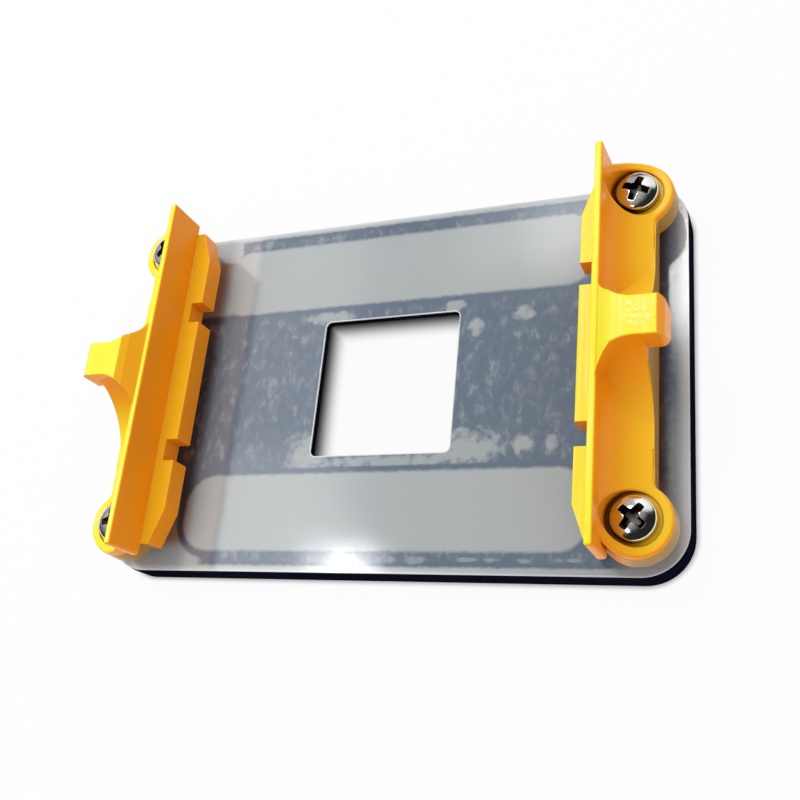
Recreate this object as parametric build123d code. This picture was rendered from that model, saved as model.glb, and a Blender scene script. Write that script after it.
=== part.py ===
"""Backplate set that clamps a processor cooler to a main board.

A shallow drawn steel pan carries four tapped posts and an insulating film on
its face. Two identical moulded brackets stand on the posts, held by a pan head
screw at each end, and the cooler's clip hooks under the lug in the middle.

Lengths are in millimetres. X runs from one bracket to the other, Y along the
brackets and Z up from the rim the pan stands on. A bracket is drawn from its
own screw line, X outward and Z up from its underside, and placed at each end.
"""
import os
from math import radians, sqrt, tan

from build123d import *

# Screw pattern
post_pitch_x = 90.0
post_pitch_y = 54.0

# Drawn steel pan
plate_end_margin = 7.1
plate_side_margin = 6.8
plate_corner = 7.6
plate_height = 5.15
sheet = 1.3
bend_radius = 1.6
opening = 26.1
opening_corner = 1.1

# Two long beads pressed down beside the opening
bead_screw_gap = 8.0
bead_edge_gap = 3.9
bead_opening_gap = 2.95
bead_corner = 5.5
bead_depth = 1.2
bead_slope = 25.0
bead_fillet = 0.4

# Insulating film
film_thickness = 0.25
film_inset = 0.2
film_post_clearance = 0.4

# Tapped posts clinched in the sheet
post_radius = 2.5
post_rise = 5.6
post_head_flats = 7.6
post_head_height = 1.4
post_chamfer = 0.3
clinch_clearance = 0.05

# Thread of the posts and screws, drawn plain at the middle of its depth
thread_radius = 1.6
thread_clearance = 0.05
thread_lead = 0.4

# Pan head screws
screw_length = 8.0
tip_chamfer = 0.5
head_radius = 3.45
head_height = 2.6
head_rim = 1.55
head_foot_chamfer = 0.25
recess_reach = 2.5
recess_foot_reach = 1.2
recess_width = 1.2
recess_foot_width = 0.75
recess_depth = 1.7
recess_hub_radius = 1.45
screw_turns = {(1, -1): 50.0, (1, 1): 68.0, (-1, -1): 12.0, (-1, 1): 35.0}

# Bracket foot and its two rails, the ledge inside and the scoop outside
stand_off = 3.85
ledge_width = 3.75
ledge_height = 4.05
ledge_end_gap = 2.15
ledge_end_width = 1.6
ledge_taper_run = 6.05
ledge_fillet = 0.25
body_reach = 2.85
scoop_radius = 7.7
scoop_floor = 4.25
scoop_wall_overlap = 0.25
rail_height = 10.2
rail_fillet = 0.55
notch_inner = 11.6
notch_width = 4.0
notch_depth = 2.3

# Upright wall of the bracket
wall_screw_gap = 0.1
wall_top_thickness = 1.2
wall_draft = 0.45
wall_height = 12.25
wall_end_margin = 5.75
wall_round = 0.35
wall_end_fillet = 0.5
wall_foot_fillet = 0.3

# Bosses round the screws
boss_wall = 1.55
boss_step = 0.3
boss_foot_height = 3.3
boss_foot_draft = 4.0
boss_neck_fillet = 1.5
boss_lip_fillet = 0.3
counterbore_clearance = 0.65
counterbore_floor = 3.85
screw_hole_clearance = 0.35
seat_clearance = 0.15

# Lug the cooler's clip hooks under
lug_width = 6.4
lug_height = 15.4
lug_underside = 10.6
lug_reach = 6.1
lug_top_reach = 4.8
lug_shoulder_reach = 5.7
lug_shoulder_drop = 1.6
lug_slope_run = 2.7
lug_crease_run = 1.75
lug_crease_share = 0.7
lug_corner_radius = 1.2
lug_edge_fillet = 0.3
lug_flank_radius = 6.2
lug_flank_centre = 1.5
lug_ramp_radius = 14.0
lug_ramp_top = 13.5

# Pockets cored out of the bracket's underside
core_skin = 1.4
core_roof = 1.5
core_rib = 1.3
core_corner = 0.6
lug_core_width = 3.0

# Levels and places worked out from the sizes above
plate_length = post_pitch_x + 2 * plate_end_margin
plate_width = post_pitch_y + 2 * plate_side_margin
bead_length = post_pitch_x - 2 * bead_screw_gap
bead_width = (plate_width - opening) / 2 - bead_edge_gap - bead_opening_gap
bead_centre = (opening + bead_width) / 2 + bead_opening_gap
sheet_underside = plate_height - sheet
film_top = plate_height + film_thickness
post_top = film_top + post_rise
post_foot = sheet_underside - post_head_height
bracket_foot = film_top + stand_off
boss_y = post_pitch_y / 2
counterbore_radius = head_radius + counterbore_clearance
boss_radius = counterbore_radius + boss_wall
boss_foot_radius = boss_radius + boss_step
seat_depth = post_rise - stand_off
wall_outer = -counterbore_radius - wall_screw_gap
wall_reach = wall_top_thickness - wall_outer
wall_length = post_pitch_y + 2 * wall_end_margin
wall_shoulder = wall_height - wall_round
ledge_reach = wall_reach + ledge_width
ledge_end_reach = wall_reach + ledge_end_width
ledge_length = wall_length - 2 * ledge_end_gap
ramp_foot = wall_outer - wall_round
scoop_centre = wall_outer + scoop_radius - scoop_wall_overlap
scoop_level = scoop_floor + scoop_radius
slab = wall_round - wall_reach
body_edge = scoop_level - sqrt(scoop_radius**2 - (scoop_centre - body_reach)**2)
ramp_low = body_edge - rail_fillet
ramp_climb = lug_ramp_top - ramp_low - lug_ramp_radius
ramp_end = lug_width / 2 + sqrt(lug_ramp_radius**2 - ramp_climb**2)
beyond = 2 * wall_length
tolerance = 0.001
corners = [(x, y) for x in (-1, 1) for y in (-1, 1)]


def rounded_slab(length, width, corner, low, high):
    """Rounded rectangle centred on the Z axis, filled between two levels."""
    outline = RectangleRounded(length, width, corner)
    return Pos(0, 0, low) * extrude(outline, amount=high - low)


def disc(radius, low, high):
    """Plain cylinder on the Z axis between two levels."""
    return extrude(Plane.XY.offset(low) * Circle(radius), amount=high - low)


def along_y(section, length):
    """Section drawn across the bracket, drawn out along it to both sides."""
    return extrude(Plane.XZ * section, amount=length / 2, both=True)


def both_ends(shape):
    """A shape and its mirror image at the other end of the bracket."""
    return shape + mirror(shape, Plane.XZ)


def post_places():
    """The four screw axes, as places on the ground plane."""
    return [Pos(x * post_pitch_x / 2, y * post_pitch_y / 2, 0) for x, y in corners]


def bead_form(growth, top):
    """One bead between its lips, grown sideways to leave a wall of sheet."""
    outline = RectangleRounded(bead_length + growth, bead_width + growth,
                               bead_corner + growth / 2)
    form = extrude(Plane.XY.offset(top) * outline, amount=-bead_depth, taper=bead_slope)
    return fillet(form.edges().group_by(Axis.Z)[0], bead_fillet)


def backplate():
    """Drawn pan with a square opening, two beads and four post holes."""
    pan = rounded_slab(plate_length, plate_width, plate_corner, 0, plate_height)
    pan = fillet(pan.edges().group_by(Axis.Z)[-1], bend_radius)
    hollow = rounded_slab(plate_length - 2 * sheet, plate_width - 2 * sheet,
                          plate_corner - sheet, 0, sheet_underside)
    pan -= fillet(hollow.edges().group_by(Axis.Z)[-1], bend_radius - sheet)
    growth = 2 * sheet * tan(radians(45 - bead_slope / 2))
    for side in (-1, 1):
        place = Pos(0, side * bead_centre, 0)
        pan += place * bead_form(growth, sheet_underside)
        pan -= place * bead_form(0, plate_height)
    pan -= rounded_slab(opening, opening, opening_corner, 0, plate_height)
    for place in post_places():
        pan -= place * disc(post_radius + clinch_clearance, 0, plate_height)
    return pan


def insulating_film():
    """Flat film with the same opening, cut a little inside the pan's edge."""
    film = rounded_slab(plate_length - 2 * film_inset, plate_width - 2 * film_inset,
                        plate_corner - film_inset, plate_height, film_top)
    film -= rounded_slab(opening, opening, opening_corner, plate_height, film_top)
    for place in post_places():
        film -= place * disc(post_radius + film_post_clearance, plate_height, film_top)
    return film


def post():
    """Tapped post on the Z axis, its hexagonal head under the sheet."""
    hexagon = RegularPolygon(post_head_flats / 2, 6, major_radius=False)
    head = extrude(Plane.XY.offset(post_foot) * hexagon, amount=post_head_height)
    head = chamfer(head.edges().group_by(Axis.Z)[0], post_chamfer)
    barrel = disc(post_radius, sheet_underside, post_top)
    barrel = chamfer(barrel.edges().group_by(Axis.Z)[-1], post_chamfer)
    bore_radius = thread_radius + thread_clearance
    lead = Pos(0, 0, post_top - thread_lead / 2) * Cone(bore_radius, bore_radius + thread_lead,
                                                        thread_lead)
    return head + barrel - disc(bore_radius, post_foot, post_top) - lead


def cross(reach, width, level):
    """Outline of a cross recess at one level."""
    shape = Rectangle(2 * reach, width) + Rectangle(width, 2 * reach)
    return Plane.XY.offset(level) * shape


def screw(turn):
    """Pan head screw on the Z axis, its cross recess turned by some degrees."""
    bearing = bracket_foot + counterbore_floor
    top = bearing + head_height
    side = Polyline((0, 0), (head_radius - head_foot_chamfer, 0), (head_radius, head_foot_chamfer),
                    (head_radius, head_rim))
    rise = head_height - head_rim
    dome_radius = (head_radius**2 + rise**2) / (2 * rise)
    dome = RadiusArc((head_radius, head_rim), (0, head_height), dome_radius)
    axis_line = Line((0, head_height), (0, 0))
    head = revolve(Plane.XZ * make_face(side + dome + axis_line), Axis.Z)
    shank = disc(thread_radius, bearing - screw_length, bearing)
    shank = chamfer(shank.edges().group_by(Axis.Z)[0], tip_chamfer)
    recess = loft([cross(recess_foot_reach, recess_foot_width, top - recess_depth),
                   cross(recess_reach, recess_width, top)], ruled=True)
    hub = Cone(recess_foot_reach / 2, recess_hub_radius, recess_depth)
    recess += Pos(0, 0, top - recess_depth / 2) * hub
    return Pos(0, 0, bearing) * head + shank - Rot(0, 0, turn) * recess


def foot_outline():
    """Plan of the bracket's foot: tapered ends and two alignment notches."""
    half = ledge_length / 2
    taper = half - ledge_taper_run
    plan = make_face(Polyline((-ledge_end_reach, half), (-ledge_reach, taper),
                              (-ledge_reach, -taper), (-ledge_end_reach, -half),
                              (body_reach, -half), (body_reach, half), close=True))
    for side in (-1, 1):
        middle = side * (notch_inner + notch_width / 2)
        plan -= Pos(-ledge_reach, middle) * Rectangle(2 * notch_depth, notch_width)
    return plan


def foot():
    """Foot of the bracket, the top of its ledge rounded over."""
    shape = extrude(foot_outline(), amount=ledge_height)
    top = shape.edges().group_by(Axis.Z)[-1]
    inner = top.filter_by(lambda edge: edge.bounding_box().max.X < tolerance - ledge_end_reach)
    return fillet(inner, ledge_fillet)


def upright_wall():
    """Wall the clip lies against, drafted outside, its top rounded over."""
    section = make_face(Polyline((-wall_reach, ledge_height),
                                 (wall_outer + wall_draft, ledge_height),
                                 (wall_outer, wall_height), (-wall_reach, wall_height),
                                 close=True))
    section = fillet(section.vertices().group_by(Axis.Y)[-1], wall_round)
    wall = along_y(section, wall_length)
    tall = wall_height / 2
    uprights = wall.edges().filter_by(lambda edge: edge.bounding_box().size.Z > tall)
    return fillet(uprights, wall_end_fillet)


def above_scoop():
    """Room over the scooped side: everything above its hollow curve."""
    room = Pos(scoop_centre, scoop_level) * Circle(scoop_radius)
    room += Pos(scoop_centre + beyond / 2, scoop_floor + beyond / 2) * Rectangle(beyond, beyond)
    room += Pos(ramp_foot + beyond / 2, wall_shoulder + beyond / 2) * Rectangle(beyond, beyond)
    return along_y(room, beyond)


def scooped_block(height, length):
    """Block between the wall and the outer face, before it is scooped out."""
    section = Rectangle(body_reach - slab, height, align=(Align.MIN, Align.MIN))
    return along_y(Pos(slab, 0) * section, length)


def counterbore():
    """Room for the head of the screw at one end."""
    return Pos(0, boss_y, 0) * disc(counterbore_radius, counterbore_floor, beyond)


def counterbore_lip(rail):
    """Upper edge of the counterbore, where it opens into the scoop."""
    def on_lip(edge):
        spots = [edge.position_at(share) for share in (0, 0.5, 1)]
        reach = [sqrt(spot.X**2 + (spot.Y - boss_y)**2) for spot in spots]
        return (max(abs(length - counterbore_radius) for length in reach) < tolerance
                and edge.bounding_box().min.Z > counterbore_floor + tolerance)
    return rail.edges().filter_by(on_lip)


def outer_rail():
    """Scooped rail with its boss at one end, its rim and its lip rounded over."""
    rail = scooped_block(rail_height, 2 * boss_y) + Pos(0, boss_y, 0) * disc(boss_radius, 0, rail_height)
    rail -= above_scoop() + Pos(0, -beyond / 2, 0) * Box(beyond, beyond, beyond)
    face = rail.edges().filter_by_position(Axis.X, body_reach - tolerance, body_reach + tolerance)
    rail = fillet(face.filter_by(Axis.Z).sort_by(Axis.Y)[-1], boss_neck_fillet)
    face = rail.edges().filter_by_position(Axis.X, body_reach - tolerance, body_reach + tolerance)
    rail = fillet(face.filter_by(Axis.Y).sort_by(Axis.Z)[-1], rail_fillet)
    rail -= counterbore()
    return fillet(counterbore_lip(rail), boss_lip_fillet)


def boss_foot():
    """Wider foot that the boss at one end stands on."""
    foot = extrude(Circle(boss_foot_radius), amount=boss_foot_height, taper=boss_foot_draft)
    return Pos(0, boss_y, 0) * foot


def flank_end():
    """How far along the wall the lug's curved flank reaches."""
    rise = sqrt(lug_flank_radius**2 - (lug_flank_centre - ramp_foot)**2)
    return lug_width / 2 + lug_flank_radius - rise


def lug_roof():
    """Section under the lug's roof, with two creases between wall and lug top."""
    climb = (lug_height - wall_height) * lug_crease_share
    start = wall_height - (ramp_foot - slab) * climb / lug_crease_run
    return make_face(Polyline((slab, 0), (body_reach, 0), (body_reach, lug_height),
                              (ramp_foot + lug_slope_run, lug_height),
                              (ramp_foot + lug_crease_run, wall_height + climb),
                              (slab, start), close=True))


def above_ramp():
    """Room over the curve that sweeps the rail's edge up to the lug."""
    room = Pos(ramp_end, ramp_low + lug_ramp_radius) * Circle(lug_ramp_radius)
    room += Pos(ramp_end + beyond / 2, 0) * Rectangle(beyond, 2 * beyond)
    room += (Pos(lug_width / 2 + beyond / 2, ramp_low + lug_ramp_radius + beyond / 2)
             * Rectangle(beyond, beyond))
    return extrude(Plane.YZ * room, amount=beyond / 2, both=True)


def beside_lug():
    """Room beside the lug, inside the hollow flank that joins it to the wall."""
    middle = lug_width / 2 + lug_flank_radius
    lean = lug_flank_radius / sqrt(2)
    start = (ramp_foot, flank_end())
    flank = ThreePointArc(start, (lug_flank_centre - lean, middle - lean),
                          (lug_flank_centre, lug_width / 2))
    rest = Polyline((lug_flank_centre, lug_width / 2), (beyond, lug_width / 2),
                    (beyond, beyond), (ramp_foot, beyond), start)
    return extrude(make_face(flank + rest), amount=beyond)


def lug_nose():
    """Overhanging end of the lug, rounded in plan and sloped below its top."""
    block = Pos(0, 0, lug_underside) * Box(lug_reach, lug_width, lug_height - lug_underside,
                                           align=(Align.MIN, Align.CENTER, Align.MIN))
    block = fillet(block.edges().filter_by(Axis.Z).group_by(Axis.X)[-1], lug_corner_radius)
    side = Polyline((0, lug_underside), (lug_reach, lug_underside),
                    (lug_shoulder_reach, lug_height - lug_shoulder_drop),
                    (lug_top_reach, lug_height), (0, lug_height), close=True)
    return block & along_y(make_face(side), lug_width)


def lug_top_edges(shape):
    """Outer edges of the lug's flat top, the crease behind them left out."""
    crease = ramp_foot + lug_slope_run
    top = shape.edges().group_by(Axis.Z)[-1]
    return top.filter_by(lambda edge: edge.bounding_box().max.X > crease + lug_edge_fillet)


def lug():
    """Lug in the middle of the bracket, with the flanks that carry it."""
    shape = scooped_block(wall_shoulder, 2 * ramp_end) + along_y(lug_roof(), 2 * flank_end())
    shape += lug_nose()
    shape -= both_ends(above_scoop() & above_ramp() & beside_lug())
    return fillet(lug_top_edges(shape), lug_edge_fillet)


def wall_foot_edge(shape):
    """Long inner corner between the ledge and the wall."""
    lines = shape.edges().filter_by(Axis.Y)
    lines = lines.filter_by_position(Axis.X, -wall_reach - tolerance, -wall_reach + tolerance)
    return lines.filter_by_position(Axis.Z, 0, ledge_height + tolerance).sort_by(SortBy.LENGTH)[-1]


def core_pockets():
    """Pockets under the foot, clear of the bosses and split by ribs."""
    plan = offset(foot_outline(), amount=-core_skin, kind=Kind.INTERSECTION)
    for side in (-1, 1):
        plan -= Pos(0, side * boss_y) * Circle(boss_foot_radius)
        plan -= Pos(0, side * (notch_inner + notch_width / 2)) * Rectangle(beyond, core_rib)
    plan -= Rectangle(beyond, lug_core_width + 2 * core_rib)
    plan = offset(offset(plan, amount=-core_corner), amount=core_corner)
    pockets = extrude(plan, amount=ledge_height - core_roof)
    deep = Box(body_reach - core_skin + wall_reach - core_rib, lug_core_width, lug_underside,
               align=(Align.MAX, Align.CENTER, Align.MIN))
    return pockets + Pos(body_reach - core_skin, 0, 0) * deep


def bracket():
    """Moulded clip bracket, drawn from its screw line and its underside."""
    half = outer_rail() + boss_foot()
    half -= Pos(-wall_reach - beyond / 2, 0, 0) * Box(beyond, 2 * beyond, beyond)
    middle = lug() + upright_wall() + foot() - counterbore()
    half += middle & Pos(0, beyond / 2, 0) * Box(beyond, beyond, beyond)
    half = fillet(wall_foot_edge(half), wall_foot_fillet)
    half -= Pos(0, boss_y, 0) * disc(thread_radius + screw_hole_clearance, 0, counterbore_floor)
    half -= Pos(0, boss_y, 0) * disc(post_radius + seat_clearance, 0, seat_depth)
    return both_ends(half) - core_pockets()


def main():
    """Write one file for each piece of the set."""
    os.makedirs("parts", exist_ok=True)
    export_step(backplate(), "parts/backplate.step")
    export_step(insulating_film(), "parts/insulating_film.step")
    one_bracket = bracket()
    for side, name in ((-1, "left"), (1, "right")):
        place = Pos(side * post_pitch_x / 2, 0, bracket_foot) * Rot(0, 0, 90 - 90 * side)
        export_step(place * one_bracket, f"parts/{name}_bracket.step")
        for end, where in ((-1, "near"), (1, "far")):
            axis = Pos(side * post_pitch_x / 2, end * post_pitch_y / 2, 0)
            export_step(axis * post(), f"parts/{name}_{where}_post.step")
            turn = screw_turns[side, end]
            export_step(axis * screw(turn), f"parts/{name}_{where}_screw.step")


if __name__ == "__main__":
    main()
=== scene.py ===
"""Looks of the cooler backplate: its film, steel, moulded brackets and screws."""
from __future__ import annotations

import logging
import math
from dataclasses import dataclass, field
from enum import Enum
from functools import cached_property
from typing import Any

import bmesh
import bpy
from mathutils import Euler, Matrix, Vector


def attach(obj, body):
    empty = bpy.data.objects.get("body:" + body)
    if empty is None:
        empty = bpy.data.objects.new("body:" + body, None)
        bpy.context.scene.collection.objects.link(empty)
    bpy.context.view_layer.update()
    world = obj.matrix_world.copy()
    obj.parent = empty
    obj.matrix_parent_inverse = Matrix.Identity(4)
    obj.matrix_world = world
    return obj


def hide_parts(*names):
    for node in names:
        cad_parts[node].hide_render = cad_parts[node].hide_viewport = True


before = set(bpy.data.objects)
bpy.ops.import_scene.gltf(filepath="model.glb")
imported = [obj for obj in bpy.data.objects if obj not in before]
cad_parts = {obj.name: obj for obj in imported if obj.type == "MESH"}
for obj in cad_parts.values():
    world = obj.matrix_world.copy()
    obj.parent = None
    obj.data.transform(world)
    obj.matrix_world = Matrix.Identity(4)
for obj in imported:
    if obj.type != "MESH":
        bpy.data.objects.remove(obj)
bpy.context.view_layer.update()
LOG = logging.getLogger("backplate")
MM = 0.001

Colour = tuple[float, float, float]
Way = tuple[float, float, float]
Pair = tuple[float, float]
Socket = Any
Value = float | Socket

UP: Way = (0.0, 0.0, 1.0)
EVEN: Way = (1.0, 1.0, 1.0)
WHITE: Colour = (1.0, 1.0, 1.0)


class Side(Enum):
    """The two ends of the plate that carry a bracket."""

    LEFT = "left"
    RIGHT = "right"


class End(Enum):
    """The two screws of a bracket, by their distance from the viewer."""

    NEAR = "near"
    FAR = "far"


@dataclass(frozen=True)
class Ramp:
    """Soft step: 0 where it starts, its full strength where it ends."""

    start: float
    end: float
    strength: float = 1.0


@dataclass(frozen=True)
class Cloud:
    """Cloudy pattern, its scale in cells per millimetre."""

    scale: float
    detail: float = 3.0
    squeeze: Way = EVEN
    swirl: float = 0.0


class Graph:
    """Shader nodes of one material or world, added and joined a step at a time."""

    def __init__(self, owner: bpy.types.Material | bpy.types.World) -> None:
        """Clear the nodes of a new material or world.

        Args:
            owner: Material or world that the nodes belong to.
        """
        self.owner = owner
        self.owner.use_nodes = True
        self.tree = owner.node_tree
        self.tree.nodes.clear()

    def add(self, kind: str, settings: dict[str, Any] | None = None, **inputs: Any) -> Any:
        """Add a node, set its options and fill or join its inputs.

        Args:
            kind: Blender's name of the node, without the leading words.
            settings: Options of the node itself.
            **inputs: Inputs by name, with spaces written as underscores.

        Returns:
            The new node.
        """
        node = self.tree.nodes.new("ShaderNode" + kind)
        for option, choice in (settings or {}).items():
            setattr(node, option, choice)
        for title, value in inputs.items():
            self.feed(node.inputs[title.replace("_", " ")], value)
        return node

    def feed(self, entry: Any, value: Any) -> None:
        """Join a socket to an input, or write a plain value on it.

        Args:
            entry: Input of a node.
            value: Socket, number or colour.
        """
        if isinstance(value, bpy.types.NodeSocket):
            self.tree.links.new(value, entry)
        elif isinstance(value, tuple) and entry.type == "RGBA":
            entry.default_value = (*value, 1.0)
        else:
            entry.default_value = value

    def math(self, operation: str, first: Value, second: Value = 0.0) -> Socket:
        """Work out one sum on two values.

        Args:
            operation: Blender's name of the sum.
            first: First value or socket.
            second: Second value or socket.

        Returns:
            The result's socket.
        """
        node = self.add("Math", {"operation": operation})
        self.feed(node.inputs[0], first)
        self.feed(node.inputs[1], second)
        return node.outputs[0]

    def product(self, first: Value, *others: Value) -> Socket:
        """Multiply values by each other.

        Args:
            first: First value or socket.
            *others: Further values or sockets.

        Returns:
            The product's socket.
        """
        for other in others:
            first = self.math("MULTIPLY", first, other)
        return first

    def rest(self, share: Value) -> Socket:
        """What a share leaves of 1."""
        return self.math("SUBTRACT", 1.0, share)

    def ramp(self, value: Value, *ramps: Ramp) -> Socket:
        """Share that soft steps give a value, multiplied by each other.

        Args:
            value: Value or socket that the steps look at.
            *ramps: Soft steps, such as both edges of a band.

        Returns:
            The share's socket.
        """
        nodes = [self.add("MapRange", {"interpolation_type": "SMOOTHSTEP"}, Value=value,
                          From_Min=step.start, From_Max=step.end, To_Max=step.strength)
                 for step in ramps]
        return self.product(*(node.outputs["Result"] for node in nodes))

    def blend(self, share: Value, first: Any, second: Any, mode: str = "MIX") -> Socket:
        """Mix two colours.

        Args:
            share: How much of the second colour shows.
            first: First colour or socket.
            second: Second colour or socket.
            mode: Blender's name of the way they mix.

        Returns:
            The mixed colour's socket.
        """
        node = self.add("Mix", {"data_type": "RGBA", "blend_type": mode})
        self.feed(node.inputs[0], share)
        self.feed(node.inputs[6], first)
        self.feed(node.inputs[7], second)
        return node.outputs[2]

    def tinted(self, share: Value, colour: Socket, tint: Colour) -> Socket:
        """Tint part of a colour."""
        return self.blend(share, colour, self.blend(1.0, colour, tint, "MULTIPLY"))

    def mixed(self, share: Value, first: Any, second: Any) -> Any:
        """Mix two shaders.

        Args:
            share: How much of the second shader shows.
            first: Node of the first shader.
            second: Node of the second shader.

        Returns:
            The node that mixes them.
        """
        node = self.add("MixShader", Fac=share)
        self.feed(node.inputs[1], first.outputs[0])
        self.feed(node.inputs[2], second.outputs[0])
        return node

    def place(self, stretch: Way = EVEN) -> Socket:
        """Place on the object in millimetres, stretched along its axes.

        Args:
            stretch: How much it is stretched along each axis.

        Returns:
            The place's socket.
        """
        spot = self.add("TexCoord").outputs["Object"]
        scale = tuple(factor / MM for factor in stretch)
        node = self.add("Mapping", {"vector_type": "POINT"}, Vector=spot, Scale=scale)
        return node.outputs[0]

    @cached_property
    def axes(self) -> Any:
        """Sockets X, Y and Z of the place in millimetres."""
        return self.add("SeparateXYZ", Vector=self.place()).outputs

    def off_middle(self, value: Value) -> Socket:
        """How far a value is from 0, to either side."""
        return self.math("ABSOLUTE", value)

    def noise(self, cloud: Cloud) -> Socket:
        """Socket of a cloudy pattern over the object, about 0.5 on average."""
        node = self.add("TexNoise", Vector=self.place(cloud.squeeze), Scale=cloud.scale,
                        Detail=cloud.detail, Distortion=cloud.swirl)
        return node.outputs["Fac"]

    def bump(self, height: Value, depth: float, under: Socket | None = None) -> Socket:
        """Raise or sink the surface by a pattern.

        Args:
            height: Pattern that gives the height.
            depth: Depth of the pattern in millimetres.
            under: Bump that this one lies on, if any.

        Returns:
            The surface normal's socket.
        """
        node = self.add("Bump", Height=height, Distance=depth * MM)
        if under is not None:
            self.feed(node.inputs["Normal"], under)
        return node.outputs[0]

    def rough(self, pattern: Socket, least: float, spread: float) -> Socket:
        """Roughness that varies with a pattern.

        Args:
            pattern: Pattern that the roughness follows.
            least: Roughness where the pattern is 0.
            spread: How much the pattern adds at most.

        Returns:
            The roughness's socket.
        """
        node = self.math("MULTIPLY_ADD", pattern, spread).node
        node.inputs[2].default_value = least
        return node.outputs[0]

    def facing(self, way: Way) -> Socket:
        """How far the surface faces one way of the object.

        Args:
            way: The way, about 1 long.

        Returns:
            Socket that is 1 straight at it and -1 away from it.
        """
        normal = self.add("TexCoord").outputs["Normal"]
        return self.along(normal, way)

    def along(self, direction: Socket, way: Way) -> Socket:
        """How far a direction goes along a way.

        Args:
            direction: The direction's socket.
            way: The way, about 1 long.

        Returns:
            The dot product's socket.
        """
        node = self.add("VectorMath", {"operation": "DOT_PRODUCT"})
        self.feed(node.inputs[0], direction)
        self.feed(node.inputs[1], way)
        return node.outputs["Value"]

    def openness(self, reach: float) -> Socket:
        """How open the place is, with walls up to a reach in millimetres counted."""
        node = self.add("AmbientOcclusion", {"samples": 8}, Distance=reach * MM)
        return node.outputs["AO"]

    def spot(self, centre: Pair, half: Pair) -> Socket:
        """Squared distance from the middle of an oval, 1 on its edge.

        Args:
            centre: Middle of the oval.
            half: Half length and half width of the oval.

        Returns:
            The distance's socket.
        """
        across = self.math("DIVIDE", self.math("SUBTRACT", self.axes["X"], centre[0]), half[0])
        along = self.math("DIVIDE", self.math("SUBTRACT", self.axes["Y"], centre[1]), half[1])
        return self.math("ADD", self.product(across, across), self.product(along, along))

    def rounded(self, half: Pair, corner: float, shift: float = 0.0) -> Socket:
        """Distance outwards from a rounded rectangle, below 0 inside it.

        Args:
            half: Half length and half width of the rectangle.
            corner: Radius of its corners.
            shift: How far a pair of them stands off the middle, to both sides.

        Returns:
            The distance's socket, in millimetres.
        """
        across = self.off_middle(self.axes["X"])
        along = self.off_middle(self.axes["Y"])
        along = self.off_middle(self.math("SUBTRACT", along, shift))
        past_end = self.math("SUBTRACT", across, half[0] - corner)
        past_side = self.math("SUBTRACT", along, half[1] - corner)
        end = self.math("MAXIMUM", past_end, 0.0)
        side = self.math("MAXIMUM", past_side, 0.0)
        squared = self.math("ADD", self.product(end, end), self.product(side, side))
        reach = self.math("SQRT", squared)
        inner = self.math("MINIMUM", self.math("MAXIMUM", past_end, past_side), 0.0)
        return self.math("SUBTRACT", self.math("ADD", reach, inner), corner)

    def finish(self, shader: Any, output: str = "OutputMaterial") -> Any:
        """Join the last shader to the output.

        Args:
            shader: Node of the last shader.
            output: Blender's name of the output node, without the leading words.

        Returns:
            The finished material or world.
        """
        self.tree.links.new(shader.outputs[0], self.add(output).inputs["Surface"])
        return self.owner


def new_graph(name: str) -> Graph:
    """Start the nodes of a new material."""
    return Graph(bpy.data.materials.new(name))


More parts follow.
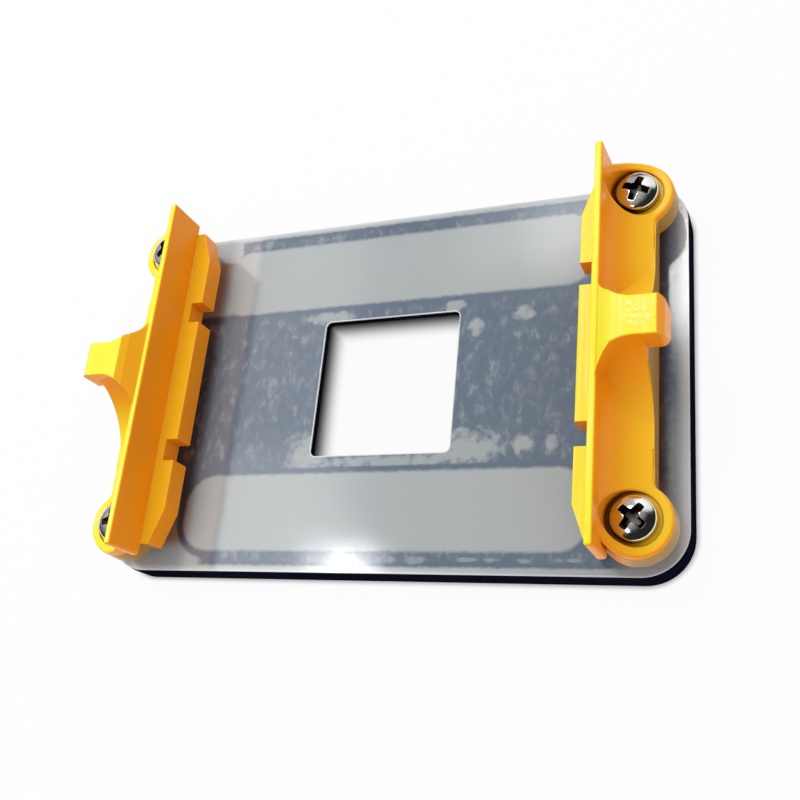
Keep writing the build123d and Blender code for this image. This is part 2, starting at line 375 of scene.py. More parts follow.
@dataclass(frozen=True)
class BracketPlastic:
    """Glossy yellow plastic with painted light and shade: a lemon lit tone, and a deep orange
    painted shade on faces turned from the light, behind the upright wall, on the outer foot and in
    hollows.
    """

    side: Side
    # Painted light and shade: the lit tone and the shaded tone.
    lit_plastic_colour: Colour = (0.98, 0.86, 0.03)
    shaded_plastic_colour: Colour = (0.95, 0.31, 0.008)
    # Painted shade on the outer faces below the lug.
    foot_shade_colour: Colour = (0.27, 0.165, 0.006)
    # Painted shade deep in hollows and notches.
    hollow_shade_colour: Colour = (0.30, 0.04, 0.003)
    # Painted highlight lines on the lit level faces.
    highlight_line_colour: Colour = (1.0, 1.0, 0.45)
    mark_colour: Colour = (1.0, 0.98, 0.5)
    flow_tint: Colour = (0.98, 0.93, 0.85)
    # Way towards the light that the painted lit tone faces.
    light_way: Way = (-0.45, 0.45, 0.77)
    foot_shade_way: Way = (0.8, -0.6, 0.0)
    turned_to_light: Ramp = Ramp(-0.15, 0.8)
    turned_up: Ramp = Ramp(0.0, 0.6, 0.45)
    upright_share: float = 0.55
    flow_marks: Cloud = Cloud(0.09, 2.0, (1.0, 0.35, 1.0))
    flow: Ramp = Ramp(0.35, 0.7, 0.4)
    hollow_shade: Ramp = Ramp(0.5, 0.08)
    hollow_reach: float = 4.0
    highlight_streaks: Cloud = Cloud(1.0, 2.0, (2.2, 0.05, 1.0))
    line: Ramp = Ramp(0.5, 0.72)
    line_level: Ramp = Ramp(0.85, 0.97)
    line_bright: Ramp = Ramp(0.6, 0.95, 0.4)
    shade_depth: float = 0.6
    wall_faces: Pair = (-39.65, 40.85)
    wall_top: float = 21.5
    least_drop: float = 0.05
    behind_wall: Ramp = Ramp(-0.25, -0.05)
    shade_spread: Ramp = Ramp(3.2, 0.3)
    waves: Cloud = Cloud(0.35, 1.0)
    wave_depth: float = 0.05
    grain: Cloud = Cloud(5.0, 4.0)
    grain_depth: float = 0.004
    roughness: Pair = (0.18, 0.12)
    scatter: Colour = (1.0, 0.35, 0.05)
    rail: Ramp = Ramp(47.5, 47.9)
    rail_end: Ramp = Ramp(20.5, 18.5)
    boss_start: Ramp = Ramp(18.0, 20.0)
    boss_step: Ramp = Ramp(12.7, 12.5)
    boss_side: Ramp = Ramp(38.3, 38.8)
    foot_top: Ramp = Ramp(19.6, 19.0)
    foot_turned: Ramp = Ramp(0.2, 0.6, 0.85)
    mark_centre: Pair = (47.2, 0.4)
    mark_radius: float = 2.3
    mark_edge: Ramp = Ramp(1.05, 0.85)
    mark_level: float = 24.0
    mark_share: float = 0.6
    mark_depth: float = 0.03
    pebbles: Cloud = Cloud(1.9, 1.0)
    pebble: Ramp = Ramp(0.45, 0.6)

    def material(self) -> bpy.types.Material:
        """Make the plastic with painted light, shade and highlight lines, faint flow marks and a
        fine moulded grain.

        Returns:
            The finished material.
        """
        graph = new_graph(f"{self.side.value}_bracket_plastic")
        # Painted light and shade: lemon where lit, deep orange where shaded.
        bright = self._painted_light_share(graph)
        colour = graph.blend(bright, self.shaded_plastic_colour, self.lit_plastic_colour)
        # Painted highlight lines along the lit level faces.
        colour = graph.blend(self._highlight_lines(graph, bright), colour, self.highlight_line_colour)
        flow = graph.ramp(graph.noise(self.flow_marks), self.flow)
        colour = graph.tinted(flow, colour, self.flow_tint)
        # Painted shade on the outer faces below the lug, turned from the light.
        colour = graph.blend(self._foot_shade(graph), colour, self.foot_shade_colour)
        # Painted shade: dark where ambient occlusion finds hollows.
        hollow_shade = graph.ramp(graph.openness(self.hollow_reach), self.hollow_shade)
        colour = graph.blend(hollow_shade, colour, self.hollow_shade_colour)
        mark = self._mark(graph)
        colour = graph.blend(graph.product(mark, self.mark_share), colour, self.mark_colour)
        grain = graph.noise(self.grain)
        normal = graph.bump(grain, self.grain_depth)
        normal = graph.bump(graph.noise(self.waves), self.wave_depth, normal)
        normal = graph.bump(mark, self.mark_depth, normal)
        shader = graph.add("BsdfPrincipled", Base_Color=colour, IOR=1.5, Specular_IOR_Level=0.16,
                           Roughness=graph.rough(grain, *self.roughness), Normal=normal,
                           Subsurface_Weight=0.15, Subsurface_Scale=1.0 * MM,
                           Subsurface_Radius=self.scatter)
        return graph.finish(shader)

    def _painted_light_share(self, graph: Graph) -> Socket:
        """Share of the painted lit tone: most on top and on faces turned to the light, least in the
        painted shade behind the upright wall.

        Args:
            graph: Nodes of the finish.

        Returns:
            The share's socket.
        """
        upward = graph.math("ADD", graph.ramp(graph.facing(UP), self.turned_up), self.upright_share)
        lit = graph.ramp(graph.facing(self.light_way), self.turned_to_light)
        shade = graph.product(self._shade(graph), self.shade_depth)
        return graph.product(lit, upward, graph.rest(shade))

    def _highlight_lines(self, graph: Graph, bright: Socket) -> Socket:
        """Share of the painted highlight lines on the lit level faces.

        Args:
            graph: Nodes of the finish.
            bright: Share of the painted lit tone.

        Returns:
            The share's socket.
        """
        lines = graph.ramp(graph.noise(self.highlight_streaks), self.line)
        level = graph.ramp(graph.facing(UP), self.line_level)
        return graph.product(lines, level, graph.ramp(bright, self.line_bright))

    def _shade(self, graph: Graph) -> Socket:
        """Share of the plastic's deep tone, painted shade behind the upright wall that keeps the
        light off.

        Args:
            graph: Nodes of the finish.

        Returns:
            Socket that is 1 at the foot of the wall's shaded face and 0 in the open.
        """
        left_face, right_face = self.wall_faces
        away = graph.math("SUBTRACT", graph.axes["X"],
                          right_face if self.side is Side.RIGHT else left_face)
        below = graph.math("SUBTRACT", self.wall_top, graph.axes["Z"])
        slope = graph.math("DIVIDE", away, graph.math("MAXIMUM", below, self.least_drop))
        near = graph.ramp(slope, self.shade_spread)
        return graph.product(graph.ramp(away, self.behind_wall), near)

    def _foot_shade(self, graph: Graph) -> Socket:
        """Share of the painted shade on the upright faces outside, below the lug.

        Args:
            graph: Nodes of the finish.

        Returns:
            Socket that is above 0 on faces that look away from the window.
        """
        across = graph.off_middle(graph.axes["X"])
        along = graph.off_middle(graph.axes["Y"])
        rail = graph.product(graph.ramp(across, self.rail), graph.ramp(along, self.rail_end))
        boss = graph.product(graph.ramp(along, self.boss_start),
                             graph.ramp(graph.axes["Z"], self.boss_step),
                             graph.ramp(across, self.boss_side))
        return graph.product(graph.math("MAXIMUM", rail, boss),
                             graph.ramp(graph.axes["Z"], self.foot_top),
                             graph.ramp(graph.facing(self.foot_shade_way), self.foot_turned))

    def _mark(self, graph: Graph) -> Socket:
        """Round pebbled patch that the mould leaves on top of one lug.

        Args:
            graph: Nodes of the finish.

        Returns:
            Socket that is above 0 on the raised pebbles of the patch.
        """
        inside = graph.ramp(graph.spot(self.mark_centre, (self.mark_radius,) * 2),
                            self.mark_edge)
        on_top = graph.math("GREATER_THAN", graph.axes["Z"], self.mark_level)
        pebbles = graph.ramp(graph.noise(self.pebbles), self.pebble)
        return graph.product(pebbles, graph.product(inside, on_top))


@dataclass(frozen=True)
class BlackSteel:
    """Black coated sheet steel, a little blue, with faint drawing streaks."""

    colour: Colour = (0.003, 0.004, 0.010)
    streak_colour: Colour = (0.009, 0.010, 0.020)
    streaks: Cloud = Cloud(0.5, 5.0, (0.12, 0.12, 6.0))
    streak: Ramp = Ramp(0.4, 0.7)
    grain: Cloud = Cloud(3.0, 4.0)
    grain_depth: float = 0.006
    roughness: Pair = (0.5, 0.2)

    def material(self) -> bpy.types.Material:
        """Make the steel with streaks that run level round the drawn wall.

        Returns:
            The finished material.
        """
        graph = new_graph("steel_plate")
        streaks = graph.noise(self.streaks)
        colour = graph.blend(graph.ramp(streaks, self.streak), self.colour, self.streak_colour)
        shader = graph.add("BsdfPrincipled", Base_Color=colour, Specular_IOR_Level=0.0,
                           Roughness=graph.rough(streaks, *self.roughness),
                           Normal=graph.bump(graph.noise(self.grain), self.grain_depth))
        return graph.finish(shader)


@dataclass(frozen=True)
class PlatedSteel:
    """Bright nickel plate on the screws and posts."""

    name: str
    colour: Colour = (0.80, 0.78, 0.75)
    # Painted shade in the hollows.
    hollow_shade_colour: Colour = (0.02, 0.018, 0.016)
    hollow_shade: Ramp = Ramp(0.75, 0.35)
    hollow_reach: float = 1.2
    wear: Cloud = Cloud(1.6, 4.0)
    wear_depth: float = 0.02
    roughness: Pair = (0.04, 0.14)

    def material(self) -> bpy.types.Material:
        """Make the plate with faint wear in its shine and painted shade darkening its hollows.

        Returns:
            The finished material.
        """
        graph = new_graph(self.name)
        wear = graph.noise(self.wear)
        # Painted shade: dark where the hollows keep light out.
        hollow_shade = graph.ramp(graph.openness(self.hollow_reach), self.hollow_shade)
        shader = graph.add("BsdfPrincipled", Metallic=1.0,
                           Base_Color=graph.blend(hollow_shade, self.colour, self.hollow_shade_colour),
                           Roughness=graph.rough(wear, *self.roughness),
                           Normal=graph.bump(wear, self.wear_depth))
        return graph.finish(shader)


@dataclass(frozen=True)
class LoosePatch:
    """Part of the film near the plate's rim that the glue doesn't hold."""

    across: Ramp
    along: Ramp
    clear_of_bead: bool = False


@dataclass(frozen=True)
class MilkyFilm:
    """Clear film glued on the black steel, milky where it has no glue under it.

    Places and sizes are in millimetres from the middle of the plate. Each bubble
    holds its middle and its half sizes.
    """

    loose_colour: Colour = (0.35, 0.385, 0.40)
    glued_colour: Colour = (0.078, 0.118, 0.178)
    # Pale cut edges with a painted highlight.
    cut_edge_highlight_colour: Colour = (0.80, 0.81, 0.83)
    # Pale where the film lifts off the rim, brighter on the left by a painted highlight.
    curl_and_sheen_colour: Colour = (0.60, 0.63, 0.645)
    curl_and_faint_sheen_colour: Colour = (0.32, 0.34, 0.375)
    # Painted reflection: warm lighter band on the film beside the left bracket.
    bracket_reflection_colour: Colour = (0.125, 0.102, 0.086)
    # Painted shade: warm dark film next to the bracket rails.
    rail_shade_tint: Colour = (0.85, 0.42, 0.30)
    cloud_tint: Colour = (1.0, 0.985, 0.97)
    clouds: Cloud = Cloud(0.05, 2.0)
    cloudy: Ramp = Ramp(0.35, 0.65, 0.5)
    waves: Cloud = Cloud(0.07, 2.0)
    wave_depth: float = 0.06
    peel: Cloud = Cloud(3.0, 2.0)
    peel_depth: float = 0.010
    roughness: float = 0.09
    outline_half: Pair = (51.9, 33.6)
    outline_corner: float = 7.4
    outline_edge: Ramp = Ramp(-0.35, -0.1, 0.35)
    opening_half: Pair = (13.05, 13.05)
    opening_corner: float = 1.1
    opening_edge: Ramp = Ramp(0.24, 0.08, 0.85)
    cut_face: Ramp = Ramp(0.7, 0.3, 0.6)
    bead_half: Pair = (37.0, 6.8)
    bead_centre: float = 23.08
    bead_corner: float = 5.5
    bead_edge: Ramp = Ramp(-0.35, 0.5)
    bead_rag: float = 0.35
    beside_bead: Ramp = Ramp(1.0, 1.8)
    glue_edge: Cloud = Cloud(0.9)
    glue_rag: float = 1.6
    glue_side_rag: float = 0.4
    glue_end: Ramp = Ramp(52.0, 47.6)
    glue_side: Ramp = Ramp(32.85, 32.15)
    curl: Ramp = Ramp(32.3, 33.8)
    sheen_fade: Ramp = Ramp(-2.0, 36.0)
    tip: Ramp = Ramp(49.6, 51.8, 0.6)
    bracket_reflection_band: tuple[Ramp, Ramp] = (Ramp(-37.5, -34.5), Ramp(-28.8, -30.9))
    inner_rail_band: tuple[Ramp, Ramp] = (Ramp(-34.8, -37.8), Ramp(-43.0, -41.0))
    outer_rail_band: tuple[Ramp, Ramp] = (Ramp(49.2, 47.6), Ramp(44.0, 45.0))
    rail_end: Ramp = Ramp(30.0, 27.5)
    loose_patches: tuple[LoosePatch, ...] = (
        LoosePatch(Ramp(-33.6, -34.4), Ramp(16.0, 17.0)),
        LoosePatch(Ramp(-31.5, -33.5), Ramp(-20.0, -26.0), clear_of_bead=True),
        LoosePatch(Ramp(39.0, 44.0), Ramp(-17.0, -24.0, 0.8)),
        LoosePatch(Ramp(47.3, 50.2), Ramp(-3.0, -13.0, 0.8)))
    bubbles: tuple[tuple[float, float, float, float], ...] = (
        (-13.4, -12.3, 3.8, 3.3), (14.0, -12.5, 7.4, 3.0), (2.5, -14.3, 12.0, 1.1),
        (-12.6, 14.2, 4.6, 1.3), (12.2, 14.3, 1.6, 1.3), (25.6, -12.0, 1.7, 1.6),
        (30.4, -12.2, 1.0, 1.6), (24.6, 11.6, 1.7, 1.2), (16.2, 9.8, 1.3, 1.4),
        (4.0, -31.4, 1.3, 0.5), (8.7, -31.3, 1.9, 0.6), (17.4, -31.2, 1.5, 0.35),
        (21.7, -31.2, 1.1, 0.35), (26.9, -31.3, 0.9, 0.35), (32.2, -31.2, 0.7, 0.35),
        (34.9, -31.2, 1.1, 0.3), (-28.2, 31.4, 1.0, 1.0))
    bubble_edge: Cloud = Cloud(0.7)
    bubble_rag: float = 4.2
    bubble_rim: Ramp = Ramp(2.0, 0.1)
    bubble_strength: float = 0.85
    bubble_strip: Ramp = Ramp(28.0, 29.5, 0.3)
    bubble_free_band: tuple[Ramp, Ramp] = (Ramp(14.9, 15.4), Ramp(29.5, 29.0))
    flecks: Cloud = Cloud(1.0, 2.5, (0.84, 0.46, 1.0), 0.4)
    fleck_left: Ramp = Ramp(40.0, -45.0, 0.04)
    fleck_groups: Cloud = Cloud(0.12, 2.0)
    fleck_group: Ramp = Ramp(0.3, 0.7, 0.05)
    faint_fleck: Ramp = Ramp(0.42, 0.70, 0.12)
    strong_fleck: Ramp = Ramp(0.60, 0.82, 0.36)
    fleck_middle: Ramp = Ramp(15.6, 14.0)
    fleck_strip: tuple[Ramp, Ramp] = (Ramp(28.9, 29.6), Ramp(32.2, 31.2))

    def material(self) -> bpy.types.Material:
        """Make the film, glued or loose by its place over the pressed plate.

        Returns:
            The finished material.
        """
        graph = new_graph("film")
        ragged = self._ragged(graph, self.glue_edge, self.glue_rag)
        glued = graph.product(self._outside_beads(graph, ragged),
                              self._inside_rim(graph, ragged))
        pale = graph.math("MAXIMUM", self._bubbles(graph), self._flecks(graph))
        colour = graph.blend(graph.product(glued, graph.rest(pale)), self.loose_colour,
                             self.glued_colour)
        cloudy = graph.ramp(graph.noise(self.clouds), self.cloudy)
        colour = graph.tinted(cloudy, colour, self.cloud_tint)
        # Lifted rim with a painted highlight along it.
        colour = self._curl_and_sheen(graph, colour)
        colour = self._near_brackets(graph, colour)
        # Painted highlight along every cut edge.
        colour = graph.blend(self._edge_highlights(graph), colour, self.cut_edge_highlight_colour)
        normal = graph.bump(graph.noise(self.waves), self.wave_depth)
        normal = graph.bump(graph.noise(self.peel), self.peel_depth, normal)
        shader = graph.add("BsdfPrincipled", Base_Color=colour, Roughness=self.roughness, IOR=1.5,
                           Specular_IOR_Level=0.24, Normal=normal)
        return graph.finish(shader)

    def _ragged(self, graph: Graph, edge: Cloud, reach: float) -> Socket:
        """Pattern that moves an edge to both sides, to make it ragged."""
        return graph.product(graph.math("SUBTRACT", graph.noise(edge), 0.5), reach)

    def _curl_and_sheen(self, graph: Graph, colour: Socket) -> Socket:
        """Pale tone where the film lifts off the rounded rim of the plate, with a painted highlight
        that fades from left to right, and a painted highlight at both ends.

        Args:
            graph: Nodes of the finish.
            colour: Colour of the film without it.

        Returns:
            The paler colour's socket.
        """
        tone = graph.blend(graph.ramp(graph.axes["X"], self.sheen_fade), self.curl_and_sheen_colour,
                           self.curl_and_faint_sheen_colour)
        curl = graph.ramp(graph.off_middle(graph.axes["Y"]), self.curl)
        colour = graph.blend(curl, colour, tone)
        tip = graph.ramp(graph.off_middle(graph.axes["X"]), self.tip)
        return graph.blend(tip, colour, self.cut_edge_highlight_colour)

    def _near_brackets(self, graph: Graph, colour: Socket) -> Socket:
        """Painted light that the film takes on near the brackets: a warm painted reflection beside
        the left bracket, and painted warm shade close to the rails.

        Args:
            graph: Nodes of the finish.
            colour: Colour of the film without it.

        Returns:
            The warmer colour's socket.
        """
        across = graph.axes["X"]
        # Painted reflection of the left bracket, added to the film's colour.
        colour = graph.blend(graph.ramp(across, *self.bracket_reflection_band), colour, self.bracket_reflection_colour, "ADD")
        # Painted shade: warm darker film next to the rails.
        inner = graph.ramp(across, *self.inner_rail_band)
        outer = graph.ramp(graph.off_middle(across), *self.outer_rail_band)
        between = graph.ramp(graph.off_middle(graph.axes["Y"]), self.rail_end)
        close = graph.product(graph.math("MAXIMUM", inner, outer), between)
        return graph.tinted(close, colour, self.rail_shade_tint)

    def _edge_highlights(self, graph: Graph) -> Socket:
        """Share of the painted highlight, a white line along every cut edge of the film.

        Args:
            graph: Nodes of the finish.

        Returns:
            The share's socket.
        """
        outer = graph.rounded(self.outline_half, self.outline_corner)
        inner = graph.rounded(self.opening_half, self.opening_corner)
        rim = graph.math("MAXIMUM", graph.ramp(outer, self.outline_edge),
                         graph.ramp(inner, self.opening_edge))
        return graph.math("MAXIMUM", rim, graph.ramp(graph.facing(UP), self.cut_face))

    def _outside_beads(self, graph: Graph, ragged: Socket) -> Socket:
        """Share of the film that lies outside the two pressed beads.

        Args:
            graph: Nodes of the finish.
            ragged: Pattern that makes the edge ragged.

        Returns:
            The share's socket.
        """
        distance = graph.rounded(self.bead_half, self.bead_corner, self.bead_centre)
        distance = graph.math("ADD", distance, graph.product(ragged, self.bead_rag))
        return graph.ramp(distance, self.bead_edge)

    def _inside_rim(self, graph: Graph, ragged: Socket) -> Socket:
        """Share of the film that the glue holds inside the plate's rounded rim.

        Args:
            graph: Nodes of the finish.
            ragged: Pattern that makes the edges ragged.

        Returns:
            The share's socket, low in the loose patches.
        """
        across = graph.math("ADD", graph.off_middle(graph.axes["X"]), ragged)
        along = graph.math("ADD", graph.off_middle(graph.axes["Y"]),
                           graph.product(ragged, self.glue_side_rag))
        inside = graph.product(graph.ramp(across, self.glue_end), graph.ramp(along, self.glue_side))
        signed = graph.math("ADD", graph.axes["X"], ragged)
        bead = graph.rounded(self.bead_half, self.bead_corner, self.bead_centre)
        loose: Value = 0.0
        for patch in self.loose_patches:
            share = graph.product(graph.ramp(signed, patch.across),
                                  graph.ramp(graph.axes["Y"], patch.along))
            if patch.clear_of_bead:
                share = graph.product(share, graph.ramp(bead, self.beside_bead))
            loose = graph.math("MAXIMUM", loose, share)
        return graph.product(inside, graph.rest(loose))

    def _bubbles(self, graph: Graph) -> Socket:
        """Share of the large pale places where the glue has let go.

        Args:
            graph: Nodes of the finish.

        Returns:
            The share's socket, 0 over the pressed beads.
        """
        edge = self._ragged(graph, self.bubble_edge, self.bubble_rag)
        share: Value = 0.0
        for x, y, half_x, half_y in self.bubbles:
            distance = graph.math("ADD", graph.spot((x, y), (half_x, half_y)), edge)
            share = graph.math("MAXIMUM", share, graph.ramp(distance, self.bubble_rim))
        side = graph.off_middle(graph.axes["Y"])
        clear = graph.rest(graph.ramp(side, *self.bubble_free_band))
        strength = graph.math("SUBTRACT", self.bubble_strength, graph.ramp(side, self.bubble_strip))
        return graph.product(share, clear, strength)

    def _flecks(self, graph: Graph) -> Socket:
        """Soft pale flecks drawn out along the brackets, thicker towards the left.

        Args:
            graph: Nodes of the finish.

        Returns:
            The flecks' share, in the middle field and the strips outside the beads.
        """
        value = graph.noise(self.flecks)
        value = graph.math("ADD", value, graph.ramp(graph.axes["X"], self.fleck_left))
        groups = graph.ramp(graph.noise(self.fleck_groups), self.fleck_group)
        value = graph.math("ADD", value, groups)
        both = graph.math("ADD", graph.ramp(value, self.faint_fleck),
                          graph.ramp(value, self.strong_fleck))
        side = graph.off_middle(graph.axes["Y"])
        return graph.product(both, graph.math("MAXIMUM", graph.ramp(side, self.fleck_middle),
                                              graph.ramp(side, *self.fleck_strip)))


@dataclass(frozen=True)
class ScrewSize:
    """Sizes of a pan head screw in millimetres, its bearing face at level 0."""

    bearing: float = 13.1
    length: float = 8.0
    pitch: float = 0.6
    crest: float = 1.64
    root: float = 1.36
    tip: float = 0.5
    head_radius: float = 3.45
    head_height: float = 2.6
    head_rim: float = 1.55
    foot_edge: float = 0.2
    rim_rounding: tuple[Pair, ...] = ((0.0, 0.35), (0.03, 0.12))
    recess_reach: float = 2.45
    recess_half: float = 0.62
    recess_foot_reach: float = 1.3
    recess_foot_half: float = 0.4
    recess_hub: float = 1.05
    recess_depth: float = 1.7
    recess_edge: float = 0.11


class ScrewMesh:
    """Pan head screw with a rolled thread and a tapered cross recess."""

    SIDES = 64
    THREAD_ROWS = 8
    CROWN_ROWS = 13
    ARMS = 4
    ARM_END_SHARE = 0.55
    ARM_END_STEPS = 5
    MOUTH_FLARE = (1.12, 1.06)
    MOUTH_LEVELS = (0.6, -0.15)
    SHARP_ANGLE = 35.0
    SOFTENED_ANGLE = 38.0

    def __init__(self, size: ScrewSize) -> None:
        """Keep the sizes that the screw is made to."""
        self.size = size

    def build(self, name: str, place: Pair, turn: float,
              plate: bpy.types.Material, recess: bpy.types.Material) -> bpy.types.Object:
        """Make one screw and cut its recess.

        Args:
            name: Name of the piece.
            place: Axis of the screw in millimetres.
            turn: Turn of the recess in degrees.
            plate: Finish of the screw.
            recess: Finish inside the recess, painted dark for the shade in it.

        Returns:
            The screw's object, in the plate's own frame.
        """
        body = self._turned(name)
        body.data.materials.append(plate)
        cutter = self._cross_punch()
        cutter.data.materials.append(recess)
        cut = body.modifiers.new("recess", "BOOLEAN")
        cut.operation = "DIFFERENCE"
        cut.solver = "EXACT"
        cut.material_mode = "TRANSFER"
        cut.object = cutter
        soften = body.modifiers.new("recess_edge", "BEVEL")
        soften.width = self.size.recess_edge * MM
        soften.segments = 2
        soften.limit_method = "ANGLE"
        soften.angle_limit = math.radians(self.SOFTENED_ANGLE)
        self._apply(body)
        bpy.data.objects.remove(cutter)
        spin = Matrix.Rotation(math.radians(turn), 4, "Z")
        shift = Matrix.Translation((place[0] * MM, place[1] * MM, self.size.bearing * MM))
        body.data.transform(shift @ spin)
        return body

    def _apply(self, body: bpy.types.Object) -> None:
        """Keep the mesh that the modifiers give, with crisp edges marked.

        Args:
            body: Screw with its modifiers.
        """
        bpy.context.view_layer.update()
        graph = bpy.context.evaluated_depsgraph_get()
        made = bpy.data.meshes.new_from_object(body.evaluated_get(graph), depsgraph=graph)
        body.modifiers.clear()
        body.data = made
        made.shade_smooth()
        made.set_sharp_from_angle(angle=math.radians(self.SHARP_ANGLE))

    def _outline(self) -> list[tuple[float, float, float]]:
        """Rows of the turned screw, from its tip up.

        Returns:
            Radius, level and share of thread of each row.
        """
        size = self.size
        rows = [(size.root - size.tip, -size.length, 0.0)]
        count = round((size.length - size.tip) / size.pitch * self.THREAD_ROWS)
        for step in range(count + 1):
            level = -size.length + size.tip + (size.length - size.tip) * step / count
            ease = min(1.0, (level + size.length - size.tip) / size.pitch, -level / size.pitch)
            rows.append((size.root, level, max(0.0, ease)))
        rows.append((size.head_radius - size.foot_edge, 0.0, 0.0))
        rows.append((size.head_radius, size.foot_edge, 0.0))
        for inwards, down in size.rim_rounding:
            rows.append((size.head_radius - inwards, size.head_rim - down, 0.0))
        rise = size.head_height - size.head_rim
        radius = (size.head_radius**2 + rise**2) / (2.0 * rise)
        centre = size.head_height - radius
        lean = math.asin(size.head_radius / radius)
        for step in range(1, self.CROWN_ROWS):
            angle = lean * (1.0 - step / self.CROWN_ROWS)
            rows.append((radius * math.sin(angle), centre + radius * math.cos(angle), 0.0))
        return rows

    def _turned(self, name: str) -> bpy.types.Object:
        """Turn the outline round its axis, the thread raised as it climbs.

        Args:
            name: Name of the piece.

        Returns:
            The screw without its recess.
        """
        size = self.size
        rows = self._outline()
        mesh = bmesh.new()
        rings = []
        for radius, level, share in rows:
            ring = []
            for side in range(self.SIDES):
                angle = math.tau * side / self.SIDES
                phase = (level / size.pitch - side / self.SIDES) % 1.0
                crest = (1.0 - abs(2.0 * phase - 1.0)) * (size.crest - size.root) * share
                reach = (radius + crest) * MM
                ring.append(mesh.verts.new((reach * math.cos(angle), reach * math.sin(angle),
                                            level * MM)))
            rings.append(ring)
        for low, high in zip(rings, rings[1:]):
            for side in range(self.SIDES):
                after = (side + 1) % self.SIDES
                mesh.faces.new((low[side], low[after], high[after], high[side]))
        for ring, level in ((rings[0][::-1], rows[0][1]), (rings[-1], size.head_height)):
            middle = mesh.verts.new((0.0, 0.0, level * MM))
            for side in range(self.SIDES):
                mesh.faces.new((ring[side], ring[(side + 1) % self.SIDES], middle))
        return mesh_object(name, mesh)

    def _cross(self, reach: float, half: float, level: float) -> list[Vector]:
        """Cross outline with round arm ends and round inner corners.

        Args:
            reach: How far each arm goes from the axis.
            half: Half the width of an arm.
            level: Height above the bearing face.

        Returns:
            The outline's points in order.
        """
        inner = self.size.recess_hub * reach / self.size.recess_reach - half
        end = half * self.ARM_END_SHARE
        corner = half + inner
        middle = (self.ARM_END_STEPS - 1) / 2
        points = []
        for arm in range(self.ARMS):
            spin = Matrix.Rotation(math.tau * arm / self.ARMS, 3, "Z")
            for step in range(self.ARM_END_STEPS):
                turn = (step - middle) / middle
                angle = math.radians(90.0 * turn)
                side = math.copysign(half - end, turn) if turn else 0.0
                points.append(spin @ Vector((reach - end + end * math.cos(angle),
                                             side + end * math.sin(angle), level)))
            for step in range(self.ARM_END_STEPS):
                angle = math.radians(270.0 - 45.0 * step / middle)
                points.append(spin @ Vector((corner + inner * math.cos(angle),
                                             corner + inner * math.sin(angle), level)))
        return points

    def _cross_punch(self) -> bpy.types.Object:
        """Solid in the form of the driver's bit, tapered towards its point.

        Returns:
            The solid that cuts the recess.
        """
        size = self.size
        above, lip = self.MOUTH_LEVELS
        levels = ((size.recess_reach * self.MOUTH_FLARE[0], size.recess_half * self.MOUTH_FLARE[1],
                   size.head_height + above),
                  (size.recess_reach, size.recess_half, size.head_height + lip),
                  (size.recess_foot_reach, size.recess_foot_half,
                   size.head_height - size.recess_depth))
        mesh = bmesh.new()
        rings = [[mesh.verts.new(point * MM) for point in self._cross(*level)] for level in levels]
        for high, low in zip(rings, rings[1:]):
            for side in range(len(high)):
                after = (side + 1) % len(high)
                mesh.faces.new((high[side], low[side], low[after], high[after]))
        mesh.faces.new(rings[0])
        mesh.faces.new(rings[-1][::-1])
        bmesh.ops.recalc_face_normals(mesh, faces=mesh.faces)
        return mesh_object("driver_bit", mesh)


def mesh_object(name: str, mesh: bmesh.types.BMesh) -> bpy.types.Object:
    """Turn a finished mesh into an object of the scene.

    Args:
        name: Name of the piece.
        mesh: Mesh in metres, freed here.

    Returns:
        The new object.
    """
    data = bpy.data.meshes.new(name)
    mesh.to_mesh(data)
    mesh.free()
    piece = bpy.data.objects.new(name, data)
    bpy.context.scene.collection.objects.link(piece)
    return piece


def dress_node(name: str, material: bpy.types.Material) -> None:
    """Put one finish in every material slot of a piece from the frame.

    Args:
        name: Name of the piece.
        material: Finish that it gets.
    """
    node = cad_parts[name]
    if not node.material_slots:
        node.data.materials.append(material)
    for slot in node.material_slots:
        slot.material = material
    LOG.info("%s is finished in %s", name, material.name)


@dataclass
class Plate:
    """Pressed steel pan with the insulating film on its face."""

    steel: BlackSteel = field(default_factory=BlackSteel)
    film: MilkyFilm = field(default_factory=MilkyFilm)

    def dress(self) -> None:
        """Give the pan and the film their finishes."""
        dress_node("backplate", self.steel.material())
        dress_node("insulating_film", self.film.material())


@dataclass(frozen=True)
class SteelFinishes:
    """Finishes that the posts and screws of both brackets share."""

    post: bpy.types.Material
    screw: bpy.types.Material
    recess: bpy.types.Material


@dataclass
class ClipBracket:
    """Moulded bracket on one end of the plate, with its screws and posts."""

    side: Side
    reach: Pair = (45.0, 27.0)
    turns: dict[End, float] = field(default_factory=dict)

    def build(self, steel: SteelFinishes) -> None:
        """Make the detailed screws and give every piece its finish.

        Args:
            steel: Finishes of the posts and screws.
        """
        dress_node(f"{self.side.value}_bracket", BracketPlastic(self.side).material())
        for end in End:
            dress_node(f"{self.side.value}_{end.value}_post", steel.post)
            self._screw(end, steel)

    def _screw(self, end: End, steel: SteelFinishes) -> None:
        """Put a threaded screw in place of the plain one at one end.

        Args:
            end: End of the bracket.
            steel: Finishes of the posts and screws.
        """
        plain = f"{self.side.value}_{end.value}_screw"
        place = (self.reach[0] * (1 if self.side is Side.RIGHT else -1),
                 self.reach[1] * (1 if end is End.FAR else -1))
        screw = ScrewMesh(ScrewSize()).build(f"threaded_{plain}", place, self.turns[end],
                                             steel.screw, steel.recess)
        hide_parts(plain)
        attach(screw, "root")
        LOG.info("%s has a rolled thread and a cross recess", screw.name)


